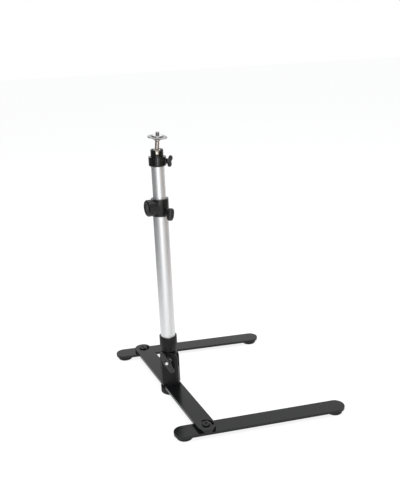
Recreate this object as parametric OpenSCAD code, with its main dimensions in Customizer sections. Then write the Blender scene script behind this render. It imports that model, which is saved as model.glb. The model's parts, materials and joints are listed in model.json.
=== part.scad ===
// Table-top shooting stand: a flat crossbar with two swinging legs, a swivelling
// tilt bracket, a two-part sliding post and a small ball head with a camera stud.
// Millimetres, +Z up. The origin is on the floor under the post axis, +X runs the
// way the long ends of the legs point, and +Y runs along the crossbar to its far end.

/* [Crossbar and legs] */
// Distance from the post axis to each leg pivot
pivot_half = 145; // [90:1:220]
// Crossbar length beyond each pivot
bar_over = 16; // [16:0.5:30]
// Width of the crossbar
bar_w = 30; // [29:0.5:40]
// Thickness of the crossbar
bar_t = 5; // [4.5:0.5:8]
// Leg length in front of its pivot
leg_fwd = 237; // [150:1:240]
// Leg length behind its pivot
leg_back = 53; // [48:1:80]
// Width of a leg
leg_w = 30; // [29:0.5:32]
// Thickness of a leg
leg_t = 4.5; // [4:0.5:8]
// Rest angle of the near leg, turned from square to the crossbar
near_rest = -12.5; // [-20:0.5:20]
// Rest angle of the far leg, turned from square to the crossbar
far_rest = -14; // [-20:0.5:20]

/* [Rubber feet] */
// Diameter of a leg foot
foot_d = 27; // [18:0.5:28]
// Height of a leg foot
foot_h = 6.5; // [6.5:0.5:14]
// Distance from a leg end to the foot centre
foot_in = 17.5; // [15:0.5:30]
// Diameter of the middle foot
mid_foot_d = 36; // [32:0.5:50]
// Diameter of the recess under a leg foot
foot_recess_d = 9; // [8.5:0.5:12]
// Shank diameter of the foot screws
foot_screw_d = 4; // [3:0.5:4]
// Distance of the middle foot's screws from its centre
mid_screw_at = 13; // [12:0.5:14]
// Shank diameter of the middle foot's screws
mid_screw_d = 3; // [2.5:0.5:3]
// Depth of the screw recesses under all feet
foot_recess = 2.2; // [1.8:0.1:2.4]
// Chamfer on the lower edge of the feet
foot_chamfer = 0.8; // [0.4:0.1:1]
// Width of the cross slots in the foot screws
cross_w = 0.9; // [0.6:0.1:1.2]

/* [Leg pivots] */
// Pivot screw diameter
pivot_d = 6; // [5:0.5:7]
// Pivot screw head diameter
pivot_head_d = 13.5; // [10:0.5:15]
// Pivot screw head height
pivot_head_h = 2.4; // [2:0.1:4]
// Chamfer around the pivot screw's head
pivot_chamfer = 0.7; // [0.3:0.1:0.9]
// Width across flats of the hexagon socket in the head
pivot_socket_af = 4; // [3:0.5:5]
// Depth of that hexagon socket
pivot_socket_h = 1.5; // [1:0.1:2.4]
// Nut width across flats
pivot_nut_af = 10; // [9:0.5:12]
// Nut height
pivot_nut_h = 4; // [3:0.5:4]
// Outer diameter of the pivot washer
pivot_washer_d = 17; // [14:0.5:17.5]
// Thickness of the pivot washer
pivot_washer_t = 0.4; // [0.3:0.1:1.5]
// Outward swing of a leg, measured from square to the crossbar
swing_out = 90; // [60:1:90]
// Inward swing of a leg, measured from square to the crossbar
swing_in = 35; // [20:1:35]
// Radius of the stop slot about the pivot
stop_r = 10.7; // [10.7:0.1:11.5]
// Diameter of the stop pin
stop_pin_d = 3; // [2:0.5:3]
// Angle of the stop pin from the long axis of its leg
stop_at = 65; // [50:1:80]

/* [Tilt bracket] */
// Rest angle of the bracket about the post
bracket_turn = -35; // [-180:1:180]
// Width of the bracket across the tilt plane
bracket_w = 32.6; // [29:0.2:40]
// Depth of the bracket along the tilt axis
bracket_depth = 22; // [20:0.5:26]
// Corner chamfer of the bracket
bracket_chamfer = 4.5; // [1:0.5:6]
// Height of the tilt axis above the bracket's underside
tilt_rise = 48.6; // [44:0.2:70]
// Outer diameter of the swivel washer
swivel_washer_d = 26; // [18:0.5:28]
// Thickness of the swivel washer
swivel_washer_t = 0.5; // [0.3:0.1:2]
// Diameter of the swivel bolt
swivel_bolt_d = 8; // [6:0.5:9]
// Width across flats of the swivel bolt's head
swivel_head_af = 13; // [11:0.5:14]
// Height of the swivel bolt's head
swivel_head_h = 4.6; // [3:0.2:5.5]
// Depth of the swivel bolt in the bracket
swivel_bolt_in = 18; // [10:0.5:22]
// Diameter of the tilt bolt
tilt_bolt_d = 6; // [5:0.5:7]
// Width across flats of the tilt bolt's head
tilt_head_af = 10; // [9:0.5:12]
// Height of the tilt bolt's head
tilt_head_h = 3.6; // [2.6:0.2:5]
// Depth of the pocket that holds the tilt bolt's head
tilt_pocket = 2.4; // [1:0.2:3]
// Diameter of the friction discs
friction_d = 24; // [16:0.5:26]
// Thickness of a friction disc
friction_t = 0.4; // [0.3:0.1:1]

/* [Tilt knob] */
// Span of the wing knob
tilt_knob_span = 43; // [30:0.5:46]
// Width of the wing at its tips
tilt_knob_tip = 10; // [7:0.5:13]
// Width of the wing at the hub
tilt_knob_mid = 13; // [11:0.5:16]
// Thickness of the wing
tilt_knob_t = 5; // [3.5:0.5:8]
// Angle of the wing about the tilt axis at rest
tilt_knob_turn = 26; // [-90:1:90]
// Diameter of the washer under the knob
knob_washer_d = 15; // [12:0.5:18]
// Thickness of the washer under the knob
knob_washer_t = 1.2; // [0.6:0.1:2]
// Length of bolt that stands out of the knob
tilt_bolt_out = 1; // [0.5:0.1:3]

/* [Post socket] */
// Outer diameter of the socket
socket_d = 30.4; // [29:0.1:31]
// Height of the socket's cup
socket_h = 25; // [20:0.5:40]
// Gap between the bracket's arch and the cup
socket_gap = 3; // [2:0.1:8]
// Floor thickness of the cup
socket_floor = 4; // [3:0.5:8]
// Thickness of the tongue between the bracket's ears
tongue_t = 7.4; // [6:0.2:9]
// Width of the tongue
tongue_w = 26; // [22:0.5:28]
// Radius of the tongue's end about the tilt axis
tongue_r = 14.6; // [12.4:0.1:15.2]
// Diameter of the grub screw
grub_d = 4; // [3:0.5:5]

/* [Tubes] */
// Outer diameter of the lower tube
lower_d = 25.4; // [25:0.1:25.8]
// Wall of the lower tube
lower_wall = 1.2; // [1:0.1:1.3]
// Length of lower tube between the socket and the lock collar
lower_show = 218.2; // [120:0.2:400]
// Outer diameter of the upper tube
upper_d = 21.3; // [21:0.1:21.5]
// Wall of the upper tube
upper_wall = 1.5; // [1:0.1:2]
// Length of upper tube between the lock collar and the head at rest
upper_show = 52.8; // [51:0.2:120]
// Whole length of the upper tube
upper_len = 260; // [235:1:265]
// Height of the guide bush at the upper tube's lower end
bush_h = 20; // [12:0.5:22]
// Thickness of the end cap's flange
cap_flange_t = 2; // [1:0.5:4]
// Length of the end cap's plug
cap_plug = 10; // [6:0.5:20]

/* [Lock collar] */
// Outer diameter of the collar's ring
collar_d = 28.5; // [28:0.1:32]
// Height of the collar
collar_h = 28; // [27.6:0.2:36]
// Height of the collar's upper part, which guides the upper tube
collar_guide = 10; // [6:0.5:12]
// Diameter of the side boss
boss_d = 27.2; // [22:0.2:27.4]
// Distance from the post axis to the end of the side boss
boss_reach = 24; // [24:0.5:40]
// Chamfer on the end of the side boss
boss_chamfer = 1.6; // [0.5:0.1:3]
// Diameter of the recess in the side boss
recess_d = 15; // [10:0.5:18]
// Depth of the recess in the side boss
recess_depth = 2.2; // [1.6:0.1:4]
// Thickness of the cap in the recess
plug_t = 1.2; // [0.8:0.1:1.5]
// Diameter of the screw that holds the collar to the lower tube
collar_screw_d = 4; // [3:0.5:5]
// Diameter of that screw's head
collar_screw_head_d = 7; // [6:0.5:8]
// Height of that screw's head
collar_screw_head_h = 3.2; // [2:0.1:3.4]
// Depth of collar that the screw clamps against the tube
collar_screw_grip = 5; // [3:0.5:5]
// Direction of the lock screw about the post
lock_az = -71.5; // [-110:0.5:-50]
// Height of the lock screw above the collar's lower edge
lock_rise = 4.9; // [4.9:0.1:6.5]
// Diameter of the lock screw
lock_screw_d = 6; // [5:0.5:6]
// Diameter of the lock screw's boss
lock_boss_d = 9.6; // [8.5:0.1:9.8]
// Distance from the post axis to the end of the lock screw's boss
lock_boss_reach = 17; // [15.5:0.5:22]
// Thickness of the pad at the lock screw's tip
pad_t = 1.2; // [0.8:0.1:1.6]

/* [Thumb knobs] */
// Span of the collar knob
collar_knob_span = 20.5; // [16:0.5:24]
// Length of the collar knob's wing along its screw
collar_knob_len = 11.5; // [7:0.5:13]
// Thickness of the collar knob's wing
collar_knob_t = 10.6; // [3:0.1:12]
// Hub diameter of the collar knob
collar_hub_d = 10.4; // [9:0.1:11]
// Hub length between the collar's screw boss and the wing
collar_neck = 1; // [0.5:0.1:5]
// Angle of the collar knob about its screw
collar_knob_turn = -12; // [-90:1:90]
// Span of the head knob
head_knob_span = 19; // [14:0.5:19]
// Length of the head knob's wing along its screw
head_knob_len = 8; // [6:0.5:9]
// Thickness of the head knob's wing
head_knob_t = 5.4; // [3:0.1:6]
// Angle of the head knob about its screw
head_knob_turn = -34; // [-90:1:90]
// Hub diameter of the head knob and of the boss behind it
head_hub_d = 8.6; // [8:0.1:9]
// Hub length between the head's screw boss and the wing
head_neck = 0.6; // [0.5:0.1:3]

/* [Ball head] */
// Diameter of the head's collar
head_d = 28.3; // [26:0.1:32]
// Height of the head's collar
head_h = 15; // [14:0.5:20]
// Rounding of the collar's lower edge
head_round = 2.4; // [0.5:0.1:2.6]
// Depth of the tube's seat in the head
head_seat = 2; // [1:0.5:2]
// Length of the spigot inside the upper tube
spigot_len = 18; // [10:0.5:30]
// Direction of the head's lock screw about the post
head_knob_az = -42; // [-60:1:60]
// Height of the lock screw above the head's lower edge
head_screw_rise = 8; // [8:0.1:8.5]
// Diameter of the head's lock screw
head_screw_d = 5; // [4:0.5:5]
// Distance from the post axis to the end of the head's screw boss
head_boss_reach = 16; // [15.5:0.5:20]
// Diameter of the cup
cup_d = 20.4; // [20:0.1:24]
// Height of the cup above the collar
cup_h = 11.2; // [10.6:0.1:11.6]
// Height of the ball's centre above the collar
ball_rise = 5.5; // [5.5:0.1:6.5]
// Diameter of the ball
ball_d = 15.6; // [15:0.1:16]
// Wall of the cup at its lip
cup_lip = 0.9; // [0.7:0.1:1.4]
// Height above the ball's centre where the cup starts to flare
flare_rise = 3; // [2:0.1:4]
// Direction that the cup's slot faces
slot_az = -103; // [-140:1:-60]
// Width of the cup's slot
slot_w = 9; // [8.2:0.1:10]
// Diameter of the stem
stem_d = 7; // [6.8:0.1:7.4]
// Diameter of the flange under the platform
flange_d = 9.2; // [8:0.1:12]
// Height of the flange under the platform
flange_h = 3; // [2:0.1:4]
// Distance from the ball's centre to the top of the flange
stem_len = 23.2; // [20:0.1:30]
// Diameter of the platform disc
disc_d = 31; // [24:0.5:34]
// Height of the platform disc, from its underside to its raised face
disc_t = 5; // [3.8:0.1:6]
// Height of the lower ring around the raised face
ring_t = 3.2; // [2.6:0.1:3.6]
// Thickness of the platform disc at its rim
disc_rim = 1.8; // [1:0.1:2.2]
// Width of the bevel around the lower ring's top
disc_bevel = 2.4; // [0.5:0.1:4]
// Diameter of the raised face
face_d = 19; // [14:0.5:22]
// Width of the edge around the raised face
face_edge = 0.5; // [0.2:0.1:1]
// Diameter of the camera stud, a quarter-inch thread
stud_d = 6.35; // [6.3:0.01:6.4]
// Length of stud above the platform disc
stud_out = 5; // [4:0.1:12]
// Depth of the platform's counterbore around the stud
stud_seat = 0.5; // [0.3:0.1:1]
// Lean of the ball at rest
lean = 7; // [0:0.5:8]
// Direction of that lean
lean_az = -66; // [-110:1:-60]

/* [Clearances] */
// Radial clearance of a shaft that turns or slides in a hole
run_fit = 0.05; // [0.03:0.01:0.09]
// Radial clearance of pieces that are screwed or pressed together
seat_fit = 0.03; // [0.01:0.01:0.05]
// Gap between moving pieces that don't bear on each other
move_gap = 0.3; // [0.2:0.05:0.5]
// Axial play between flat faces that turn on each other
face_gap = 0.1; // [0.05:0.05:0.2]

/* [Hidden] */
$fn = 96;
eps = 1;

leg_z = foot_h;
bar_z = leg_z + leg_t + pivot_washer_t + face_gap;
bar_top = bar_z + bar_t;
bar_half = pivot_half + bar_over;
nut_z = leg_z - move_gap - pivot_nut_h;
mid_recess_d = swivel_head_af / cos(30) + 4 * move_gap;
mid_floor = bar_z - swivel_head_h - 3 * move_gap;

bracket_z = bar_top + swivel_washer_t + face_gap;
tilt_z = bracket_z + tilt_rise;
bracket_r = bracket_w / 2;
tilt_az = bracket_turn - 90;
ear_gap = tongue_t + 2 * (friction_t + face_gap);
knob_face = bracket_depth / 2 + knob_washer_t;
wing_in = socket_d / 2 + 3 * move_gap;
wing_out = wing_in + tilt_knob_t;
hub_rise = 0.7;
bolt_end = wing_out + hub_rise + tilt_bolt_out;
collar_head_at = lower_d / 2 + collar_screw_grip;
collar_screw_out = collar_neck + collar_knob_len * 0.4;
head_screw_out = head_neck + head_knob_len * 0.4;

socket_z = tilt_z + bracket_r + socket_gap;
lower_z = socket_z + socket_floor;
socket_top = socket_z + socket_h;
collar_z = socket_top + lower_show;
collar_top = collar_z + collar_h;
lower_top = collar_top - collar_guide;
lower_r = lower_d / 2;
lower_bore = lower_r - lower_wall;
upper_r = upper_d / 2;
lock_z = collar_z + lock_rise;
boss_z = collar_z + collar_h / 2;
pad_in = upper_r + move_gap;
pad_out = pad_in + pad_t;

head_z = collar_top + upper_show;
head_top = head_z + head_h;
cup_top = head_top + cup_h;
upper_top = head_z + head_seat;
upper_z = upper_top - upper_len;
ball_z = head_top + ball_rise;
ball_r = ball_d / 2;
chamber_r = ball_r + 0.2;
chamber_bore = chamber_r + 0.15;
head_screw_z = head_z + head_screw_rise;
stem_r = stem_d / 2;
ball_flat = 7 * ball_r / 7.8;
disc_z = stem_len + 2 * face_gap;
stud_neck = stud_d - 0.9;
stud_z = disc_z + disc_t + face_gap;
stud_top = disc_z + disc_t + stud_out;

// The bracket's own frame: its tilt axis runs along Y.
module in_bracket() {
  rotate([0, 0, bracket_turn]) children();
}

// A frame on the post whose Z points outward in direction az at height z.
module outward(az, z) {
  translate([0, 0, z]) rotate([0, 0, az]) rotate([0, 90, 0]) children();
}

// The ball's own frame: Z runs up the leaning stem. The platform disc turns on the
// stud's neck, held between the stem's flange and the stud's shoulder.
module on_ball() {
  translate([0, 0, ball_z]) rotate(a = lean, v = [-sin(lean_az), cos(lean_az), 0]) children();
}

// The frame of one leg: its pivot at the origin and its long end toward X.
module on_leg(side) {
  translate([0, side * pivot_half, 0]) rotate([0, 0, side > 0 ? far_rest : near_rest]) children();
}

// A turned piece: its half profile runs from the axis, out and back to the axis.
module turned(profile) {
  rotate_extrude() polygon(profile);
}

// A round shank from z0 to z1 with a chamfer c at its end.
module shank(d, z0, z1, c) {
  turned([[0, z0], [d / 2, z0], [d / 2, z1 - c], [d / 2 - c, z1], [0, z1]]);
}

// A tube or ring with outer radius ro and inner radius ri.
module ring(ro, ri, h) {
  difference() {
    cylinder(r = ro, h = h);
    translate([0, 0, -eps]) cylinder(r = ri, h = h + 2 * eps);
  }
}

// A hexagonal prism measured across its flats.
module hex(af, h) {
  cylinder(d = af / cos(30), h = h, $fn = 6);
}

// A flat bar with round ends, from x = -back to x = fwd.
module round_bar(back, fwd, w, t) {
  linear_extrude(t) {
    translate([w / 2 - back, -w / 2]) square([fwd + back - w, w]);
    translate([w / 2 - back, 0]) circle(d = w);
    translate([fwd - w / 2, 0]) circle(d = w);
  }
}

// A curved slot about the origin, with round ends at angles a0 and a1. The ends are a
// hair narrower than the slot, so that no two walls only graze each other.
module curved_slot(a0, a1, r, w, h) {
  rotate([0, 0, a0]) rotate_extrude(angle = a1 - a0) translate([r - w / 2, 0]) square([w, h]);
  for (a = [a0, a1]) rotate([0, 0, a]) translate([r, 0, 0]) cylinder(d = w - 0.04, h = h);
}

// A countersunk screw that points up: its head's face is at z = 0, with a cross slot.
module foot_screw(d, head_d, l) {
  difference() {
    turned([[0, 0], [head_d / 2, 0], [d / 2, (head_d - d) / 2], [d / 2, l], [0, l]]);
    for (a = [0, 90]) rotate([0, 0, a])
      cube([head_d * 0.45, cross_w, head_d * 0.34], center = true);
  }
}

// The hole for a countersunk screw that points up into a foot of height h.
module foot_hole(d, head_d, wide_d, h) {
  translate([0, 0, -eps]) cylinder(d = wide_d, h = foot_recess + eps);
  translate([0, 0, foot_recess]) cylinder(d1 = head_d, d2 = d + 2 * seat_fit,
    h = (head_d - d) / 2 - seat_fit);
  cylinder(d = d + 2 * seat_fit, h = h + eps);
}

// A rubber foot under a leg, with a countersunk recess for its screw.
module rubber_foot() {
  difference() {
    turned([[0, 0], [foot_d / 2 - foot_chamfer, 0], [foot_d / 2, foot_chamfer],
      [foot_d / 2, foot_h], [0, foot_h]]);
    foot_hole(foot_screw_d, foot_recess_d - 0.6, foot_recess_d, foot_h);
  }
}

module leg_foot_screw() {
  translate([0, 0, foot_recess])
    foot_screw(foot_screw_d, foot_recess_d - 0.8, leg_z + leg_t - 1.2 - foot_recess);
}

module leg(side) {
  difference() {
    translate([0, 0, leg_z]) round_bar(leg_back, leg_fwd, leg_w, leg_t);
    translate([0, 0, leg_z - eps]) cylinder(d = pivot_d + 2 * run_fit, h = leg_t + 2 * eps);
    rotate([0, 0, -side * stop_at]) translate([stop_r, 0, leg_z - eps])
      cylinder(d = stop_pin_d + 2 * seat_fit, h = leg_t + 2 * eps);
    for (x = [leg_fwd - foot_in, foot_in - leg_back]) translate([x, 0, leg_z - eps])
      cylinder(d = foot_screw_d + 2 * seat_fit, h = leg_t - 1 + eps);
  }
}

module stop_pin(side) {
  on_leg(side) rotate([0, 0, -side * stop_at]) translate([stop_r, 0, leg_z + 0.2])
    cylinder(d = stop_pin_d, h = bar_top - 0.6 - leg_z - 0.2);
}

module pivot_screw(side) {
  translate([0, side * pivot_half, 0]) {
    difference() {
      turned([[0, nut_z], [pivot_d / 2, nut_z], [pivot_d / 2, bar_top], [pivot_head_d / 2, bar_top],
        [pivot_head_d / 2, bar_top + pivot_head_h - pivot_chamfer],
        [pivot_head_d / 2 - pivot_chamfer, bar_top + pivot_head_h], [0, bar_top + pivot_head_h]]);
      translate([0, 0, bar_top + pivot_head_h - pivot_socket_h]) hex(pivot_socket_af, pivot_head_h);
    }
  }
}

module pivot_washer(side) {
  translate([0, side * pivot_half, bar_z - pivot_washer_t])
    ring(pivot_washer_d / 2, pivot_d / 2 + run_fit, pivot_washer_t);
}

module pivot_nut(side) {
  translate([0, side * pivot_half, nut_z]) difference() {
    hex(pivot_nut_af, pivot_nut_h);
    translate([0, 0, -eps]) cylinder(d = pivot_d + 2 * seat_fit, h = pivot_nut_h + 2 * eps);
  }
}

module crossbar() {
  color([0.16, 0.16, 0.18]) difference() {
    translate([0, 0, bar_z]) rotate([0, 0, 90]) round_bar(bar_half, bar_half, bar_w, bar_t);
    translate([0, 0, bar_z - eps]) cylinder(d = swivel_bolt_d + 2 * run_fit, h = bar_t + 2 * eps);
    for (s = [-1, 1]) translate([0, s * mid_screw_at, bar_z - eps])
      cylinder(d = mid_screw_d + 2 * seat_fit, h = bar_t - 1 + eps);
    for (s = [-1, 1]) translate([0, s * pivot_half, bar_z - eps]) {
      cylinder(d = pivot_d + 2 * seat_fit, h = bar_t + 2 * eps);
      mirror([0, s > 0 ? 1 : 0, 0]) curved_slot(stop_at - swing_out, stop_at + swing_in,
        stop_r, stop_pin_d + 2 * move_gap, bar_t + 2 * eps);
    }
  }
}

module centre_foot() {
  color([0.09, 0.09, 0.1]) difference() {
    turned([[0, 0], [mid_foot_d / 2 - foot_chamfer, 0], [mid_foot_d / 2, foot_chamfer],
      [mid_foot_d / 2, bar_z], [0, bar_z]]);
    translate([0, 0, mid_floor]) cylinder(d = mid_recess_d, h = bar_z);
    for (s = [-1, 1]) translate([0, s * mid_screw_at, 0])
      foot_hole(mid_screw_d, 2 * mid_screw_d + 0.2, 2 * mid_screw_d + 0.6, bar_z);
  }
}

module centre_foot_screws() {
  color("silver") for (s = [-1, 1]) translate([0, s * mid_screw_at, foot_recess])
    foot_screw(mid_screw_d, 2 * mid_screw_d, bar_z + bar_t - 1.2 - foot_recess);
}

module near_leg() {
  color([0.16, 0.16, 0.18]) on_leg(-1) leg(-1);
}

module near_leg_front_foot() {
  color([0.09, 0.09, 0.1]) on_leg(-1) translate([leg_fwd - foot_in, 0, 0]) rubber_foot();
}

module near_leg_back_foot() {
  color([0.09, 0.09, 0.1]) on_leg(-1) translate([foot_in - leg_back, 0, 0]) rubber_foot();
}

module near_leg_foot_screws() {
  color("silver") on_leg(-1) for (x = [leg_fwd - foot_in, foot_in - leg_back])
    translate([x, 0, 0]) leg_foot_screw();
}

module near_pivot_screw() {
  color([0.2, 0.2, 0.22]) pivot_screw(-1);
}

module near_pivot_washer() {
  color("white") pivot_washer(-1);
}

module near_pivot_nut() {
  color("silver") pivot_nut(-1);
}

module near_stop_pin() {
  color([0.12, 0.12, 0.13]) stop_pin(-1);
}

module far_leg() {
  color([0.16, 0.16, 0.18]) on_leg(1) leg(1);
}

module far_leg_front_foot() {
  color([0.09, 0.09, 0.1]) on_leg(1) translate([leg_fwd - foot_in, 0, 0]) rubber_foot();
}

module far_leg_back_foot() {
  color([0.09, 0.09, 0.1]) on_leg(1) translate([foot_in - leg_back, 0, 0]) rubber_foot();
}

module far_leg_foot_screws() {
  color("silver") on_leg(1) for (x = [leg_fwd - foot_in, foot_in - leg_back])
    translate([x, 0, 0]) leg_foot_screw();
}

module far_pivot_screw() {
  color([0.2, 0.2, 0.22]) pivot_screw(1);
}

module far_pivot_washer() {
  color("white") pivot_washer(1);
}

module far_pivot_nut() {
  color("silver") pivot_nut(1);
}

module far_stop_pin() {
  color([0.12, 0.12, 0.13]) stop_pin(1);
}

module swivel_washer() {
  color([0.1, 0.1, 0.1]) translate([0, 0, bar_top])
    ring(swivel_washer_d / 2, swivel_bolt_d / 2 + run_fit, swivel_washer_t);
}

// The bracket: a chamfered block with an arched top, split into two ears.
module tilt_bracket() {
  color([0.13, 0.13, 0.14]) in_bracket() difference() {
    intersection() {
      translate([0, 0, bracket_z]) linear_extrude(tilt_rise + bracket_r + eps)
        bracket_plan(bracket_r, bracket_depth / 2, bracket_chamfer);
      rotate([90, 0, 0]) linear_extrude(bracket_depth + 2, center = true) {
        translate([0, tilt_z]) circle(r = bracket_r);
        translate([-bracket_r, bracket_z]) square([bracket_w, tilt_rise]);
      }
    }
    translate([-bracket_w, -ear_gap / 2, tilt_z - tongue_r - move_gap])
      cube([2 * bracket_w, ear_gap, tongue_r + 2 * bracket_w]);
    translate([0, 0, tilt_z]) rotate([90, 0, 0])
      cylinder(d = tilt_bolt_d + 2 * seat_fit, h = 2 * bracket_depth, center = true);
    translate([0, bracket_depth / 2 - tilt_pocket, tilt_z]) rotate([-90, 0, 0])
      hex(tilt_head_af + 4 * seat_fit, tilt_pocket + eps);
    translate([0, 0, bracket_z - eps])
      cylinder(d = swivel_bolt_d + 2 * seat_fit, h = swivel_bolt_in + eps + 1);
  }
}

// Plan of the bracket: a rectangle with chamfered corners.
module bracket_plan(a, b, c) {
  polygon([[a, b - c], [a - c, b], [c - a, b], [-a, b - c],
    [-a, c - b], [c - a, -b], [a - c, -b], [a, c - b]]);
}

module swivel_bolt() {
  color("silver") in_bracket() {
    translate([0, 0, bar_z - move_gap - swivel_head_h]) hex(swivel_head_af, swivel_head_h);
    translate([0, 0, bar_z - move_gap])
      cylinder(d = swivel_bolt_d, h = bracket_z + swivel_bolt_in - bar_z + move_gap);
  }
}

module tilt_bolt() {
  color("silver") outward(tilt_az, tilt_z) {
    translate([0, 0, -bracket_depth / 2 + tilt_pocket - tilt_head_h]) rotate([0, 0, 90])
      hex(tilt_head_af, tilt_head_h);
    shank(tilt_bolt_d, -bracket_depth / 2 + tilt_pocket - tilt_head_h / 2, bolt_end, 0.6);
  }
}

module tilt_friction_discs() {
  color([0.35, 0.2, 0.12]) for (s = [0, 180]) outward(tilt_az + s, tilt_z)
    translate([0, 0, ear_gap / 2 - friction_t])
      ring(friction_d / 2, tilt_bolt_d / 2 + run_fit, friction_t);
}

module tilt_knob_washer() {
  color("silver") outward(tilt_az, tilt_z) translate([0, 0, bracket_depth / 2])
    ring(knob_washer_d / 2, tilt_bolt_d / 2 + run_fit, knob_washer_t);
}

// Outline of a two-winged knob: round tips, wider at the middle.
module wing_outline(span, tip, mid) {
  l = (span - tip) / 2;
  polygon([[-l, -tip / 2], [0, -mid / 2], [l, -tip / 2], [l, tip / 2], [0, mid / 2], [-l, tip / 2]]);
  for (s = [-1, 1]) translate([s * l, 0]) circle(d = tip);
  circle(d = mid);
}

module tilt_knob() {
  color([0.1, 0.1, 0.11]) outward(tilt_az, tilt_z) rotate([0, 0, tilt_knob_turn]) difference() {
    union() {
      translate([0, 0, knob_face + face_gap])
        cylinder(d = tilt_knob_mid - 0.4, h = wing_in - knob_face - face_gap + 1);
      translate([0, 0, wing_in]) linear_extrude(tilt_knob_t)
        wing_outline(tilt_knob_span, tilt_knob_tip, tilt_knob_mid);
      translate([0, 0, wing_out - eps]) cylinder(d = tilt_knob_mid - 3, h = hub_rise + eps);
    }
    translate([0, 0, knob_face - eps])
      cylinder(d = tilt_bolt_d + 2 * run_fit, h = wing_out - knob_face + 3);
  }
}

// The tongue ends in an arc, then in two flats that meet the slot's floor at
// 45 degrees of tilt and stop the post there.
module tongue_outline() {
  k = tongue_r / sqrt(2);
  w = tongue_w / 2;
  translate([0, tilt_z]) {
    polygon([[-w, socket_z - tilt_z + 1], [-w, w - 2 * k], [-k, -k], [k, -k],
      [w, w - 2 * k], [w, socket_z - tilt_z + 1]]);
    intersection() {
      circle(r = tongue_r);
      translate([-k, -2 * k]) square([2 * k, 2 * k]);
    }
  }
}

module post_socket() {
  color([0.13, 0.13, 0.14]) difference() {
    union() {
      translate([0, 0, socket_z]) cylinder(d = socket_d, h = socket_h);
      in_bracket() rotate([90, 0, 0]) linear_extrude(tongue_t, center = true) tongue_outline();
    }
    translate([0, 0, lower_z]) cylinder(r = lower_r + seat_fit, h = socket_h);
    outward(tilt_az, tilt_z) translate([0, 0, -tongue_t])
      cylinder(d = tilt_bolt_d + 2 * run_fit, h = 2 * tongue_t);
    outward(tilt_az + 180, socket_z + socket_h / 2) translate([0, 0, lower_r - 1])
      cylinder(d = grub_d + 2 * seat_fit, h = socket_d);
  }
}

module socket_grub_screw() {
  color("dimgray") outward(tilt_az + 180, socket_z + socket_h / 2) difference() {
    translate([0, 0, lower_r + seat_fit]) cylinder(d = grub_d, h = 2.6);
    translate([0, 0, lower_r + 1.6]) hex(2, 2);
  }
}

module lower_tube() {
  color([0.78, 0.79, 0.8]) difference() {
    translate([0, 0, lower_z]) ring(lower_r, lower_bore, lower_top - lower_z);
    outward(lock_az, lock_z) cylinder(d = lock_screw_d + 2 * move_gap, h = lower_d);
    outward(180, boss_z) cylinder(d = collar_screw_d + 2 * seat_fit, h = lower_d);
  }
}

// The collar: a ring, a round side boss with a recess, and the lock screw's boss.
module lock_collar() {
  color([0.12, 0.12, 0.13]) difference() {
    union() {
      translate([0, 0, collar_z]) cylinder(d = collar_d, h = collar_h);
      outward(180, boss_z) shank(boss_d, 0, boss_reach, boss_chamfer);
      outward(lock_az, lock_z) cylinder(d = lock_boss_d, h = lock_boss_reach);
    }
    translate([0, 0, collar_z - eps])
      cylinder(r = lower_r + seat_fit, h = lower_top - collar_z + eps);
    translate([0, 0, collar_z]) cylinder(r = upper_r + run_fit, h = collar_h + eps);
    outward(180, boss_z) {
      cylinder(d = collar_screw_d + 2 * seat_fit, h = boss_reach);
      translate([0, 0, collar_head_at]) cylinder(d = collar_screw_head_d + 1, h = boss_reach);
      translate([0, 0, boss_reach - recess_depth]) cylinder(d = recess_d, h = boss_reach);
    }
    outward(lock_az, lock_z) cylinder(d = lock_screw_d + 2 * run_fit, h = lower_d + collar_d);
  }
}

module collar_boss_cap() {
  color([0.3, 0.3, 0.32]) outward(180, boss_z) translate([0, 0, boss_reach - recess_depth])
    cylinder(d = recess_d - 2 * seat_fit, h = plug_t);
}

module collar_fixing_screw() {
  color("silver") outward(180, boss_z) {
    turned([[0, lower_bore + face_gap], [collar_screw_d / 2, lower_bore + face_gap],
      [collar_screw_d / 2, collar_head_at], [collar_screw_head_d / 2, collar_head_at],
      [collar_screw_head_d / 2, collar_head_at + collar_screw_head_h],
      [0, collar_head_at + collar_screw_head_h]]);
  }
}

module lock_pad() {
  color("ivory") outward(lock_az, lock_z) translate([0, 0, pad_in])
    cylinder(d = lock_screw_d, h = pad_t);
}

module collar_knob_screw() {
  color("silver") outward(lock_az, lock_z) translate([0, 0, pad_out + face_gap])
    cylinder(d = lock_screw_d, h = lock_boss_reach + collar_screw_out - pad_out);
}

// A thumb knob along Z: a round hub, and a flat wing with two round lobes.
module thumb_knob(z0, hub, neck, span, len, t, bore, turn) {
  rotate([0, 0, turn]) difference() {
    union() {
      translate([0, 0, z0]) cylinder(d = hub, h = neck + len * 0.6);
      translate([0, 0, z0 + neck]) rotate([90, 0, 0]) linear_extrude(t, center = true)
        thumb_outline(span, len);
    }
    translate([0, 0, z0 - eps]) cylinder(d = bore, h = neck + len * 0.5 + eps);
  }
}

// Outline of a thumb knob's wing: two lobes joined by a lower waist.
module thumb_outline(span, len) {
  r = len * 0.42;
  translate([-span / 4, 0.9]) square([span / 2, len - 2.6]);
  for (s = [-1, 1]) {
    translate([s * (span / 2 - r), len - r]) circle(r = r);
    translate([s * (span / 2 - r) - r * 0.75, 0.9 + r]) square([r * 1.5, len - 0.9 - 2 * r]);
    translate([s * (span / 2 - r - 0.4), 0.9 + r]) circle(r = r - 0.2);
  }
}

module collar_knob() {
  color([0.1, 0.1, 0.11]) outward(lock_az, lock_z)
    thumb_knob(lock_boss_reach + move_gap, collar_hub_d, collar_neck, collar_knob_span,
      collar_knob_len, collar_knob_t, lock_screw_d + 2 * seat_fit, collar_knob_turn);
}

module tube_guide_bush() {
  color("white") translate([0, 0, upper_z + face_gap])
    ring(lower_bore - run_fit, upper_r + run_fit, bush_h);
}

module upper_tube() {
  color([0.8, 0.81, 0.82]) translate([0, 0, upper_z]) ring(upper_r, upper_r - upper_wall, upper_len);
}

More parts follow.
